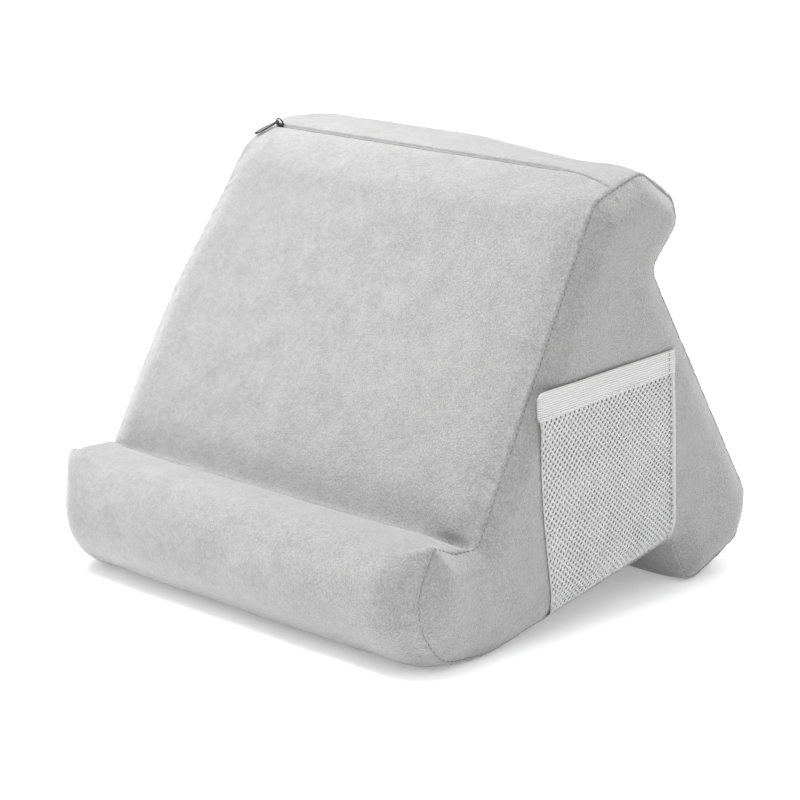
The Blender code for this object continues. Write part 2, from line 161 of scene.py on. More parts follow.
def unit(vectors):
    return vectors / np.maximum(np.linalg.norm(vectors, axis=-1, keepdims=True), 1e-9)


# ---- outlines


def fillet(before, corner, after, radius):
    """Points of the arc that rounds a corner."""
    one = (before - corner) / np.linalg.norm(before - corner)
    two = (after - corner) / np.linalg.norm(after - corner)
    turn = math.pi - math.acos(np.clip(one @ two, -1, 1))
    centre = corner + (one + two) / np.linalg.norm(one + two) * radius / math.cos(turn / 2)
    start = corner + one * radius * math.tan(turn / 2) - centre
    side = 1.0 if one[0] * two[1] - one[1] * two[0] < 0 else -1.0
    angles = side * turn * np.linspace(0, 1, max(5, int(turn / 0.06)))
    cos, sin = np.cos(angles), np.sin(angles)
    return centre + np.stack([start[0] * cos - start[1] * sin, start[0] * sin + start[1] * cos], 1)


class Outline:
    """A closed rounded outline, read by distance along it."""

    def __init__(self, section):
        corners = np.array([row[1:3] for row in section])
        runs, self.keys, count = [], {}, 0
        for i, (name, _, _, radius) in enumerate(section):
            arc = fillet(corners[i - 1], corners[i], corners[(i + 1) % len(section)], radius)
            self.keys[name] = count + len(arc) // 2
            count += len(arc)
            runs.append(arc)
        points = np.concatenate(runs)
        self.points = np.concatenate([points, points[:1]])
        steps = np.linalg.norm(np.diff(self.points, axis=0), axis=1)
        self.along = np.concatenate([[0.0], np.cumsum(steps)])
        self.whole = self.along[-1]
        self.keys = {name: self.along[index] for name, index in self.keys.items()}

    def at(self, distance):
        distance = np.mod(distance, self.whole)
        return np.stack([np.interp(distance, self.along, self.points[:, k]) for k in (0, 1)], -1)

    def place(self, target):
        grid = np.linspace(0, self.whole, 6000)
        return grid[np.argmin(np.linalg.norm(self.at(grid) - target, axis=1))]

    def outward(self, distance, reach=1.5):
        ahead = unit(self.at(distance + reach) - self.at(distance - reach))
        return np.stack([ahead[..., 1], -ahead[..., 0]], -1)


MID = Outline(MIDDLE_SECTION)
END = Outline(SEAM_SECTION)


# Distances from a seam, over the cloth's turn into it
ROLL_STEPS = [ROLL * (1 - math.cos(angle)) for angle in np.linspace(0, math.pi / 2, 6)]


def stations(length, spacing=SPACING):
    """Distances from 0 to length, close together where the cloth rolls into a seam at each end."""
    near = list(ROLL_STEPS)
    while near[-1] - near[-2] < spacing * 0.8:
        near.append(near[-1] + min(spacing, (near[-1] - near[-2]) * 1.35 + 0.1))
    count = max(2, round((length - 2 * near[-1]) / spacing))
    middle = np.linspace(near[-1], length - near[-1], count + 1)
    return np.concatenate([near[:-1], middle, length - np.array(near[:-1])[::-1]])


def roll(distance, radius=ROLL):
    """How far the cloth has dropped at a distance from its edge."""
    inside = np.clip(radius - distance, 0, radius)
    return radius - np.sqrt(np.maximum(0, radius**2 - inside**2))


def rand_line(values, pitch, seed):
    return np.array([noise.noise(Vector((v / pitch, seed, seed * 0.37))) for v in values])


def rand_field(points, pitch, seed):
    flat = points.reshape(-1, 3) / pitch + seed
    return np.array([noise.noise(Vector(p)) for p in flat]).reshape(points.shape[:-1])


def seam_puckers(along, seed):
    """Short creases across a seam, from about -0.5 to 1, at distances along it."""
    wide = np.maximum(0, rand_line(along, 6.4, seed) * 1.7)
    fine = 0.5 + rand_line(along, 3.4, seed + 9.1)
    where = 0.6 + 1.1 * np.clip(rand_line(along, 30.0, seed + 4.7) + 0.2, -0.4, 1)
    return (wide**1.3 + 0.55 * fine - 0.45) * where


def pucker_reach(distance, reach=6.0):
    """How strong a seam's creases are at a distance from it."""
    return (distance / 1.6) / (1 + distance / 1.6) * np.exp(-((distance / reach) ** 1.4))


# ---- mesh helpers


def lean(points):
    """The stand isn't quite even: its left end is wider low down and narrower at the head, its lip
    is fuller there, and the head is flatter behind the zip towards its right end."""
    points = np.array(points, float)
    x, y, z = np.moveaxis(points.copy(), -1, 0)
    flatter = np.interp(x, [10.0, 40.0, 75.0, 112.0, 134.0], [0.0, 2.6, 5.0, 4.2, 1.0])
    points[..., 2] -= flatter * smooth(17.0, 42.0, y) * smooth(196.0, 230.0, z)
    low = np.interp(z, [0.0, 66.0, 150.0, 200.0, 226.0, 236.0], [4.0, 4.5, 1.6, -2.0, -3.2, -1.5])
    face = np.interp(z, [0.0, 65.0, 100.0, 145.0, 200.0, 225.0], [0.0, 11.0, 11.4, 9.8, 1.5, -1.0])
    behind = y + 92.0 - 0.53 * (z - 60.0)  # of the sloping face
    wider = low + face * smooth(-112.0, -84.0, y) * smooth(75.0, 15.0, behind)
    fuller = smooth(-112.0, -133.0, x) * smooth(-100.0, -117.0, y) * smooth(50.0, 68.0, z)
    points[..., 0] -= wider * smooth(-55.0, -130.0, x)
    points[..., 0] -= 1.5 * fuller
    points[..., 1] -= 6.0 * fuller
    corner = smooth(-112.0, -124.0, x) * smooth(-134.5, -124.0, x)
    raised = corner * smooth(-96.0, -106.0, y) * smooth(50.0, 66.0, z)
    points[..., 2] += 2.2 * raised - 1.0 * fuller
    return points


def put(points):
    """Millimetres from the middle plane to the row frame."""
    return np.asarray(points, float) * MM + np.array([MIDDLE, 0.0, 0.0])


def mesh_object(name, points, faces, look, body="cushion"):
    mesh = bpy.data.meshes.new(name)
    mesh.from_pydata([tuple(p) for p in put(points)], [], [tuple(int(i) for i in f) for f in faces])
    mesh.materials.append(look)
    mesh.update()
    mesh.shade_smooth()
    obj = bpy.data.objects.new(name, mesh)
    bpy.context.scene.collection.objects.link(obj)
    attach(obj, body)
    return obj


def stand_in(obj, node):
    """Hide a CAD node, for the object that stands in its place."""
    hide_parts(node)


def grid_faces(rows, columns, closed=False, start=0):
    index = np.arange(rows * columns).reshape(rows, columns) + start
    if closed:
        index = np.concatenate([index, index[:, :1]], 1)
    return np.stack([index[:-1, :-1], index[1:, :-1], index[1:, 1:], index[:-1, 1:]], -1).reshape(-1, 4)


def tube_faces(rows, columns, start=0, sides_turned=False, caps_turned=False):
    """Faces of a grid that is closed round its columns, with a cap at each end."""
    step = -1 if sides_turned else 1
    faces = [tuple(f)[::step] for f in grid_faces(rows, columns, closed=True, start=start)]
    first = tuple(range(start, start + columns))
    last = tuple(range(start + (rows - 1) * columns, start + rows * columns))
    return faces + ([first[::-1], last] if caps_turned else [first, last[::-1]])


def thicken(obj, thickness):
    shell = obj.modifiers.new("thickness", "SOLIDIFY")
    shell.thickness = thickness * MM
    shell.offset = -1.0
    return obj


def grid_normals(points):
    return unit(np.cross(np.gradient(points, axis=0), np.gradient(points, axis=1)))


# ---- materials


BAND_SCALE = 0.314  # of a wave texture, for bands one unit apart


class Nodes:
    """A material's node tree, with short calls for what the looks here use."""

    def __init__(self, name, roughness, **sockets):
        self.material = bpy.data.materials.new(name)
        self.material.use_nodes = True
        self.tree = self.material.node_tree
        self.shader = self.tree.nodes["Principled BSDF"]
        self.shader.inputs["Roughness"].default_value = roughness
        for socket, value in sockets.items():
            self.shader.inputs[socket.replace("_", " ")].default_value = value
        self.place = self.add("ShaderNodeTexCoord").outputs["Object"]

    def add(self, kind, **settings):
        node = self.tree.nodes.new(kind)
        for key, value in settings.items():
            setattr(node, key, value)
        return node

    def link(self, source, target):
        self.tree.links.new(source, target)

    def noise(self, size, detail=2.0, rough=0.5, stretch=None):
        """Noise with features of a size in millimetres, stretched along axes."""
        node = self.add("ShaderNodeTexNoise")
        node.inputs["Scale"].default_value = 1.0
        node.inputs["Detail"].default_value = detail
        node.inputs["Roughness"].default_value = rough
        mapping = self.add("ShaderNodeMapping")
        scale = 1.0 / (size * MM)
        mapping.inputs["Scale"].default_value = [scale / s for s in (stretch or (1, 1, 1))]
        self.link(self.place, mapping.inputs["Vector"])
        self.link(mapping.outputs["Vector"], node.inputs["Vector"])
        return node.outputs["Fac"]

    def ramp(self, source, stops):
        node = self.add("ShaderNodeValToRGB")
        elements = node.color_ramp.elements
        while len(elements) < len(stops):
            elements.new(0.5)
        for element, (position, grey) in zip(elements, stops):
            element.position = position
            element.color = (*(grey if isinstance(grey, tuple) else (grey,) * 3), 1.0)
        self.link(source, node.inputs["Fac"])
        return node.outputs["Color"]

    def math(self, operation, one, two=None):
        node = self.add("ShaderNodeMath", operation=operation)
        for socket, value in zip(node.inputs, (one, two)):
            if value is None:
                continue
            if isinstance(value, (int, float)):
                socket.default_value = value
            else:
                self.link(value, socket)
        return node.outputs["Value"]

    def weighed(self, one, share, two, other):
        """Two values added, each by its own share."""
        return self.math("ADD", self.math("MULTIPLY", one, share), self.math("MULTIPLY", two, other))

    def bands(self, direction, pitch, distortion, place=None):
        """Bands across an axis, repeated at a pitch in millimetres."""
        wave = self.add("ShaderNodeTexWave", wave_type="BANDS", bands_direction=direction)
        wave.inputs["Scale"].default_value = BAND_SCALE / (pitch * MM)
        wave.inputs["Distortion"].default_value = distortion
        self.link(self.place if place is None else place, wave.inputs["Vector"])
        return wave.outputs["Fac"]

    def bump(self, height, distance, strength=1.0, after=None):
        node = self.add("ShaderNodeBump")
        node.inputs["Strength"].default_value = strength
        node.inputs["Distance"].default_value = distance * MM
        self.link(height, node.inputs["Height"])
        if after is not None:
            self.link(after, node.inputs["Normal"])
        return node.outputs["Normal"]

    def finish(self, colour=None, normal=None, roughness=None):
        for source, socket in ((colour, "Base Color"), (normal, "Normal"), (roughness, "Roughness")):
            if source is not None:
                self.link(source, self.shader.inputs[socket])
        return self.material


def plush_look(name, grey):
    """Short dense pile: grainy, mottled where it lies one way or another, with a strong sheen.

    The pile is rougher towards the right end, where it has been handled more.
    """
    look = Nodes(name, 0.95, Sheen_Weight=0.75, Sheen_Roughness=0.45, Specular_IOR_Level=0.10)
    crushed = look.noise(15.0, detail=3.0, rough=0.6)
    lain = look.noise(3.2, detail=3.0, rough=0.65)
    grain = look.noise(0.95, detail=3.0, rough=0.75)
    split = look.add("ShaderNodeSeparateXYZ")
    look.link(look.place, split.inputs["Vector"])
    rougher = look.add("ShaderNodeMapRange")
    for socket, value in (("From Min", -0.09), ("From Max", 0.13), ("To Min", 0.5), ("To Max", 1.8)):
        rougher.inputs[socket].default_value = value
    look.link(split.outputs["X"], rougher.inputs["Value"])
    fine = look.math("MULTIPLY", look.math("SUBTRACT", grain, 0.5), rougher.outputs["Result"])
    tone = look.weighed(crushed, 0.44, lain, 0.56)
    tone = look.math("ADD", look.math("MULTIPLY", tone, 0.75), look.math("ADD", fine, 0.125))
    colour = look.ramp(tone, [(0.30, grey * 0.80), (0.50, grey), (0.70, grey * 1.20)])
    tufts = look.bump(fine, 0.5, 1.0)
    normal = look.bump(lain, 0.4, 0.6, after=tufts)
    return look.finish(colour, normal)


def fabric_look(name, grey, contrast, pitch):
    """Knitted or woven cloth whose threads are finer than its mesh: waves two ways with noise."""
    look = Nodes(name, 0.8, Sheen_Weight=0.15, Sheen_Roughness=0.5, Specular_IOR_Level=0.25)
    weave = look.math("MAXIMUM", look.bands("Y", pitch, 1.2), look.bands("Z", pitch, 1.2))
    tone = look.weighed(weave, 0.5, look.noise(6.0, detail=2.0), 0.5)
    colour = look.ramp(tone, [(0.25, grey - contrast), (0.75, grey + contrast)])
    return look.finish(colour, look.bump(weave, 0.12, 0.6))


def elastic_look(name, grey):
    """Braided elastic: its ribs run along the band, which climbs a little to the rear."""
    look = Nodes(name, 0.7, Sheen_Weight=0.2, Sheen_Roughness=0.5, Specular_IOR_Level=0.25)
    turned = look.add("ShaderNodeMapping")
    turned.inputs["Rotation"].default_value[0] = -BAND_CLIMB
    look.link(look.place, turned.inputs["Vector"])
    ribs = look.bands("Z", 1.25, 0.6, turned.outputs["Vector"])
    fuzz = look.noise(0.8, detail=2.0, stretch=(1.0, 4.0, 1.0))
    colour = look.ramp(look.weighed(ribs, 0.6, fuzz, 0.4), [(0.2, grey * 0.78), (0.8, grey * 1.14)])
    return look.finish(colour, look.bump(ribs, 0.2, 0.8))


def thread_look(name, grey):
    look = Nodes(name, 0.7, Sheen_Weight=0.2, Specular_IOR_Level=0.3)
    twist = look.noise(0.5, detail=1.0, stretch=(1.0, 3.0, 3.0))
    colour = look.ramp(twist, [(0.35, grey * 0.8), (0.65, grey * 1.15)])
    return look.finish(colour, look.bump(twist, 0.08, 0.6))


def metal_look(name, dark, light):
    """Gunmetal plating, rubbed a little lighter and smoother in patches."""
    look = Nodes(name, 0.35, Metallic=0.85)
    rubbed = look.noise(1.6, detail=3.0, rough=0.6)
    colour = look.ramp(rubbed, [(0.40, dark), (0.70, light)])
    scratched = look.noise(0.25, detail=1.0, stretch=(6.0, 1.0, 1.0))
    roughness = look.math("ADD", look.math("MULTIPLY", rubbed, 0.25), 0.24)
    return look.finish(colour, look.bump(scratched, 0.02, 0.4), roughness)


def foam_look():
    look = Nodes("foam_cells", 0.9, Specular_IOR_Level=0.2)
    cells = look.add("ShaderNodeTexVoronoi")
    cells.inputs["Scale"].default_value = 700.0
    look.link(look.place, cells.inputs["Vector"])
    colour = look.ramp(cells.outputs["Distance"], [(0.0, (0.70, 0.66, 0.54)), (0.6, (0.86, 0.83, 0.72))])
    return look.finish(colour, look.bump(cells.outputs["Distance"], 0.3, 0.6))


LOOKS = {
    "plush": plush_look("plush_pile", 0.315),
    "foam": foam_look(),
    "mesh": fabric_look("pocket_mesh_knit", 0.50, 0.05, 0.5),
    "elastic": elastic_look("elastic_braid", 0.56),
    "binding": fabric_look("binding_tape", 0.49, 0.05, 0.5),
    # The seam thread's dark grey is painted shade: the real thread is pale, and this grey stands in for
    # the shade in the seams' crevices and puckers. The pocket's rear stitch row uses the same dark grey.
    "thread": thread_look("dark_thread_painted_seam_shade", 0.17),
    "pale_thread": thread_look("pale_thread", 0.62),
    "tape": fabric_look("zip_tape_twill", 0.45, 0.05, 0.4),
    "coil": thread_look("zip_coil_nylon", 0.40),
    "metal": metal_look("gunmetal", 0.035, 0.09),
    "pull_strip": metal_look("gunmetal_recess", 0.16, 0.26),
}

# ---- the cover's panels


def seam_distances(first, last, keys):
    """Distances along both outlines at a panel's seams and corners, rising."""
    def rising(outline, index):
        stops = [outline.place(np.array(CROSS_SEAMS[first][index]))]
        stops += [outline.keys[key] for key in keys]
        stops.append(outline.place(np.array(CROSS_SEAMS[last][index])))
        for i in range(1, len(stops)):
            while stops[i] < stops[i - 1]:
                stops[i] += outline.whole
        return np.array(stops)
    return rising(MID, 0), rising(END, 1)


def pull_share(across, near_top):
    """How far the cloth is pulled from the mid-width section to the seam's, from 0 to 1."""
    left = PULL_LEFT + 3.0 * near_top
    right = PULL_RIGHT + 11.0 * near_top
    pulled = np.where(across[None, :] < 0, left[:, None], right[:, None])
    gap = SEAM_X - np.abs(across)
    return np.clip(1 - gap[None, :] / pulled, 0, 1) ** TURN_POWER


class Strip:
    """A strip panel: its grid runs down the outline between two cross seams, and across it."""

    def __init__(self, name):
        self.first, self.last, keys = PANELS[name]
        self.mid_stops, self.end_stops = seam_distances(self.first, self.last, keys)
        self.length = self.mid_stops[-1] - self.mid_stops[0]

    def near_top(self, down, reach=45.0):
        """How near to the stand's top seam, from 0 to 1."""
        if self.first == "top":
            return smooth(reach, 0.0, down)
        if self.last == "top":
            return smooth(reach, 0.0, self.length - down)
        return np.zeros(len(down))

    def base(self, down, across):
        """The cloth before its seams, creases and slack."""
        mid_at = self.mid_stops[0] + down
        end_at = np.interp(mid_at, self.mid_stops, self.end_stops)
        share = pull_share(across, self.near_top(down))[..., None]
        end_line = END.at(end_at) + END.outward(end_at) * ROLL
        points = np.empty((len(down), len(across), 3))
        points[..., 0] = across
        points[..., 1:] = MID.at(mid_at)[:, None] * (1 - share) + end_line[:, None] * share
        return points, mid_at, END.at(end_at)


def settle(points, held, growth):
    """Cloth a little too large for its held rim, blown out gently: how far each point moves.

    It runs larger than life, because cloth this small hardly moves in so few frames.
    """
    rows, columns = points.shape[:2]
    mesh = bpy.data.meshes.new("settling")
    corners = [tuple(p) for p in points.reshape(-1, 3) * MM * SETTLE_SCALE]
    mesh.from_pydata(corners, [], [tuple(map(int, f)) for f in grid_faces(rows, columns)])
    obj = bpy.data.objects.new("settling", mesh)
    scene = bpy.context.scene
    scene.collection.objects.link(obj)
    group = obj.vertex_groups.new(name="held")
    group.add([int(i) for i in np.flatnonzero(held.reshape(-1))], 1.0, "REPLACE")
    cloth = obj.modifiers.new("cloth", "CLOTH")
    for setting, value in SETTLE_SETTINGS.items():
        setattr(cloth.settings, setting, value)
    cloth.settings.shrink_min = -growth
    cloth.settings.effector_weights.gravity = 0.0
    cloth.point_cache.frame_start = 1
    cloth.point_cache.frame_end = SETTLE_FRAMES
    for number in range(1, SETTLE_FRAMES + 1):
        scene.frame_set(number)
    seen = obj.evaluated_get(bpy.context.evaluated_depsgraph_get()).data
    after = np.array([tuple(v.co) for v in seen.vertices]).reshape(points.shape) / (MM * SETTLE_SCALE)
    scene.frame_set(1)
    bpy.data.objects.remove(obj)
    bpy.data.meshes.remove(mesh)
    return after - points


def spread(values, rows, columns, new_rows, new_columns):
    """Values on a coarse grid, read on a finer one."""
    halfway = np.array([np.interp(new_rows, rows, column) for column in values.T]).T
    return np.array([np.interp(new_columns, columns, row) for row in halfway])


def neighbours(values):
    """A grid's values, and those next to them all round."""
    return [np.roll(values, (i, j), (0, 1)) for i in (-1, 0, 1) for j in (-1, 0, 1)]


def without_pinches(values):
    """Drop single points where the cloth caught on itself, and ease their neighbours."""
    calm = np.mean(neighbours(np.median(neighbours(values), axis=0)), axis=0)
    calm[[0, -1]] = 0.0
    calm[:, [0, -1]] = 0.0
    return calm


def slack(strip, down, across):
    """The strip's own bulges and soft waves from the cloth simulation, on the finer grid."""
    coarse_down = np.linspace(0, strip.length, round(strip.length / SLACK_PITCH) + 1)
    coarse_across = np.linspace(-SEAM_X, SEAM_X, 49)
    base, _, _ = strip.base(coarse_down, coarse_across)
    held = np.zeros(base.shape[:2], bool)
    held[[0, -1]] = True
    held[:, [0, -1]] = True
    moved = settle(base, held, SLACK_GROWTH)
    out = without_pinches((moved * grid_normals(base)).sum(-1))
    out = SLACK_LIMIT * np.tanh(np.maximum(out, -0.3) / SLACK_LIMIT)
    return spread(out, coarse_down, coarse_across, down, across)


def strip_surface(name):
    """A strip panel's grid, with its slack, its seams and their creases."""
    strip = Strip(name)
    down = stations(strip.length, FINE)
    across = stations(2 * SEAM_X) - SEAM_X
    points, mid_at, seam_line = strip.base(down, across)
    normals = grid_normals(points)
    from_side = SEAM_X - np.abs(across)
    ends = ((strip.first, down), (strip.last, strip.length - down))
    drop = roll(from_side)[None, :] * np.ones((len(down), 1))
    for end, distance in ends:
        seam = roll(distance)[:, None] * np.ones((1, len(across)))
        if end == "top":
            slit = ((across > ZIP_LEFT) & (across < ZIP_RIGHT)).astype(float)
            hem = roll(np.clip(distance - SLIT_HALF, 0, None), SLIT_ROLL) * (distance < 8)
            seam = hem[:, None] * slit + seam * (1 - slit)
            away = SLIT_OPEN * np.exp(-((distance / SLIT_REACH) ** 2))[:, None] * slit
            away = away * (1 if end == strip.first else -1)
            points = points + unit(np.gradient(points, axis=0)) * away[..., None]
        drop = np.maximum(drop, seam)
    quiet = smooth(0, SIDE_QUIET[name], from_side)[None, :] * np.ones((len(down), 1))
    for end, distance in ends:
        quiet *= smooth(0, QUIET[end], distance)[:, None]
    lift = rand_field(points, 38.0, 3.3) * 0.8 + rand_field(points, 14.0, 8.1) * 0.3
    lift = (lift + slack(strip, down, across)) * quiet
    for sign in (-1, 1):
        creases = seam_puckers(mid_at, 2.0 + sign)
        lift -= SIDE_CREASES * creases[:, None] * pucker_reach(SEAM_X - sign * across)[None, :]
    for end, distance in ends:
        creases = seam_puckers(across, 7.0 + len(end))
        lift -= CROSS_CREASES[end] * pucker_reach(distance)[:, None] * creases[None, :]
        if end == "valley":
            dent = np.exp(-(((from_side - DENT_FROM_SIDE) / DENT_WIDTH) ** 2))
            dent = dent * np.where(across < 0, 0.3, 1.0)
            lift -= VALLEY_DENT * np.exp(-((distance / DENT_REACH) ** 2))[:, None] * dent[None, :]
    points = points + normals * (lift - drop)[..., None]
    points[..., 2] = np.maximum(points[..., 2], 0.05)
    near = np.exp(-((from_side / 2.0) ** 2))
    for column, sign in ((0, -1), (-1, 1)):
        target = np.column_stack([np.full(len(down), sign * SEAM_X), seam_line])
        closing = target - points[:, column]
        points += closing[:, None] * (near * (across * sign > 0))[None, :, None]
    return {"points": points, "down": down, "across": across, "seam": seam_line, "length": strip.length}


def close_seam(one, two, one_first, open_slit=False):
    """Bring two panels' edges together along their cross seam."""
    edges = [one["points"][0 if one_first else -1].copy(), two["points"][-1 if one_first else 0].copy()]
    shared = (edges[0] + edges[1]) / 2
    across = one["across"]
    joined = np.ones(len(across))
    if open_slit:
        joined[(across > ZIP_LEFT) & (across < ZIP_RIGHT)] = 0.0
    for panel, edge, from_start in ((one, edges[0], one_first), (two, edges[1], not one_first)):
        distance = panel["down"] if from_start else panel["length"] - panel["down"]
        near = np.exp(-((distance / 2.0) ** 2))
        panel["points"] += near[:, None, None] * ((shared - edge) * joined[:, None])[None]


def build_strip(name, surface):
    points = surface["points"]
    faces = grid_faces(*points.shape[:2])
    obj = mesh_object(name + "_cloth", lean(points).reshape(-1, 3), faces, LOOKS["plush"])
    thicken(obj, CLOTH)
    stand_in(obj, name + "_panel")


def side_crown(sign, y, z, distance):
    """How far the side panel stands out of its seam's plane."""
    lip = smooth(-92.0, -118.0, y)
    foot = smooth(95.0, 122.0, y)
    head = smooth(190.0, 215.0, z)
    behind = smooth(35.0, 58.0, y) * smooth(175.0, 205.0, z)
    height = 0.3 + 2.3 * lip + 1.5 * foot + 1.3 * head
    turn = 1 - (1 - np.clip(distance / SIDE_TURN, 0, 1)) ** TURN_POWER
    return height * (1 - np.exp(-distance / CROWN_REACH)) + (SIDE_RISE[sign] + 1.6 * behind) * turn


def nearest_on_loop(points, loop):
    """Distance to a closed loop and the place along it of its closest point."""
    start, edge = loop, np.roll(loop, -1, axis=0) - loop
    lengths = np.maximum((edge**2).sum(1), 1e-12)
    away = points[:, None] - start[None]
    share = np.clip((away * edge[None]).sum(-1) / lengths[None], 0, 1)
    gaps = np.linalg.norm(away - share[..., None] * edge[None], axis=-1)
    best = gaps.argmin(1)
    sizes = np.sqrt(lengths)
    along = np.concatenate([[0], np.cumsum(sizes)[:-1]])
    row = np.arange(len(points))
    return gaps[row, best], along[best] + share[row, best] * sizes[best]


def inside_loop(points, loop):
    inside = np.zeros(len(points), bool)
    for a, b in zip(loop, np.roll(loop, -1, axis=0)):
        crosses = (a[1] > points[:, 1]) != (b[1] > points[:, 1])
        reach = a[0] + (points[:, 1] - a[1]) * (b[0] - a[0]) / (b[1] - a[1] + 1e-12)
        inside ^= crosses & (points[:, 0] < reach)
    return inside


def side_mesh(loop):
    """Triangles that fill the seam's outline, in rings near it and even further in."""
    count = len(loop)
    ahead = unit(np.roll(loop, -1, axis=0) - np.roll(loop, 1, axis=0))
    inward = np.stack([-ahead[:, 1], ahead[:, 0]], 1)
    rings = ROLL_STEPS[1:] + [2.4, 3.4, 4.8, 6.6]
    chosen = [loop]
    for depth in rings:
        ring = loop + inward * depth
        gaps, _ = nearest_on_loop(ring, loop)
        ring = ring[gaps > depth * 0.985]
        kept = [ring[0]]
        for point in ring[1:]:
            if np.linalg.norm(point - kept[-1]) > 0.8 * FINE + depth * 0.08:
                kept.append(point)
        chosen.append(np.array(kept))
    low, high = loop.min(0), loop.max(0)
    pitch = SPACING * 1.1
    ys = np.arange(low[0], high[0], pitch)
    zs = np.arange(low[1], high[1], pitch * 0.866)
    grid = np.array([(y + (j % 2) * pitch / 2, z) for j, z in enumerate(zs) for y in ys])
    grid = grid[inside_loop(grid, loop)]
    gaps, _ = nearest_on_loop(grid, loop)
    chosen.append(grid[gaps > rings[-1] + pitch * 0.55])
    points = np.concatenate(chosen)
    made = delaunay_2d_cdt([Vector(p) for p in points], [], [list(range(count))], 1, 1e-6, False)
    flat = np.array([tuple(v) for v in made[0]])
    faces = np.array([tuple(f) for f in made[2]])
    return flat, faces[inside_loop(flat[faces].mean(1), loop)]


def side_slack(sign, loop):
    """A grid of the side panel's bulges and soft waves from the cloth simulation."""
    ys = np.linspace(loop[:, 0].min(), loop[:, 0].max(), 48)
    zs = np.linspace(loop[:, 1].min(), loop[:, 1].max(), 42)
    flat = np.stack(np.meshgrid(ys, zs), -1).reshape(-1, 2)
    inside = inside_loop(flat, loop)
    gaps = np.where(inside, nearest_on_loop(flat, loop)[0], 0.0)
    base = np.column_stack([SEAM_X + side_crown(sign, flat[:, 0], flat[:, 1], gaps), flat])
    base = base.reshape(len(zs), len(ys), 3)[:, ::sign]
    held = (gaps < 3.0).reshape(len(zs), len(ys))[:, ::sign]
    moved = np.abs(settle(base, held, SIDE_SLACK_GROWTH)[:, ::sign, 0])
    return ys, zs, SIDE_SLACK_LIMIT * np.tanh(moved / SIDE_SLACK_LIMIT)


def side_height(sign, y, z, gaps):
    """How far the side cloth stands out of its seam's plane, without its creases."""
    ys, zs, moved = SIDE_SLACK[sign]
    i = np.clip(np.interp(z, zs, np.arange(len(zs))), 0, len(zs) - 1.001)
    j = np.clip(np.interp(y, ys, np.arange(len(ys))), 0, len(ys) - 1.001)
    a, b, i, j = i % 1, j % 1, i.astype(int), j.astype(int)
    low = moved[i, j] * (1 - b) + moved[i, j + 1] * b
    high = moved[i + 1, j] * (1 - b) + moved[i + 1, j + 1] * b
    spots = np.stack([np.full(len(y), sign * SEAM_X), y, z], 1)
    waves = rand_field(spots, 36.0, 5.5) * 0.5 + low * (1 - a) + high * a
    return side_crown(sign, y, z, gaps) + waves * smooth(0, 14, gaps)


def build_side(sign, side, loop):
    """One end of the cover: sign is -1 on the left and 1 on the right."""
    flat, faces = side_mesh(loop)
    gaps, along = nearest_on_loop(flat, loop)
    y, z = flat[:, 0], flat[:, 1]
    out = side_height(sign, y, z, gaps)
    depth = SIDE_CREASE_SHARE * SIDE_CREASES
    out -= depth * seam_puckers(along, 5.0 + sign) * pucker_reach(gaps, 6.5)
    points = np.stack([sign * (SEAM_X + out), y, z], 1)
    corners = flat[faces[0]]
    turn = np.cross(corners[1] - corners[0], corners[2] - corners[0])
    if turn * sign < 0:
        faces = faces[:, ::-1]
    obj = mesh_object(side + "_side_cloth", lean(points), faces, LOOKS["plush"])
    thicken(obj, CLOTH)
    stand_in(obj, side + "_side_panel")


FOAM_END = 125.5  # its flat ends stay well inside the side panels
FOAM_DEPTH = 3.2  # under the cloth


def build_foam():
    """The foam block under the cloth: its ends and its long outside, closed."""
    count = 160
    at_mid = np.linspace(0, MID.whole, count, endpoint=False)
    names = [row[0] for row in MIDDLE_SECTION if row[0]]
    keys = [[outline.keys[name] for name in names] for outline in (MID, END)]
    laps = [[k[-1] - o.whole, *k, k[0] + o.whole] for k, o in zip(keys, (MID, END))]
    at_end = np.interp(at_mid, *laps)
    depth = FOAM_DEPTH + 5.5 * np.exp(-(((at_mid - MID.keys["valley"]) / 16.0) ** 2))[:, None]
    mid_line = MID.at(at_mid) - MID.outward(at_mid) * depth
    end_line = END.at(at_end) - END.outward(at_end) * depth
    columns = np.concatenate([[-FOAM_END], np.linspace(1 - FOAM_END, FOAM_END - 1, 28), [FOAM_END]])
    share = np.clip(1 - (SEAM_X - np.abs(columns)) / PULL_RIGHT, 0, 1)[:, None, None] ** TURN_POWER
    points = np.empty((len(columns), count, 3))
    points[..., 0] = columns[:, None]
    points[..., 1:] = mid_line[None] * (1 - share) + end_line[None] * share
    faces = tube_faces(len(columns), count)
    obj = mesh_object("foam_block", lean(points).reshape(-1, 3), faces, LOOKS["foam"])
    stand_in(obj, "foam_core")


build_foam()
STRIPS = {name: strip_surface(name) for name in PANELS}
close_seam(STRIPS["face"], STRIPS["back"], True, open_slit=True)
for upper, lower in (("face", "lip"), ("lip", "base"), ("base", "back")):
    close_seam(STRIPS[upper], STRIPS[lower], False)
for name, surface in STRIPS.items():
    build_strip(name, surface)
seam_loop = np.concatenate([STRIPS[name]["seam"][:-1] for name in ("face", "lip", "base", "back")])
SIDE_SLACK = {sign: side_slack(sign, seam_loop) for sign in (-1, 1)}
build_side(-1, "left", seam_loop)
build_side(1, "right", seam_loop)

# ---- stitches

THREAD_END = 133.0


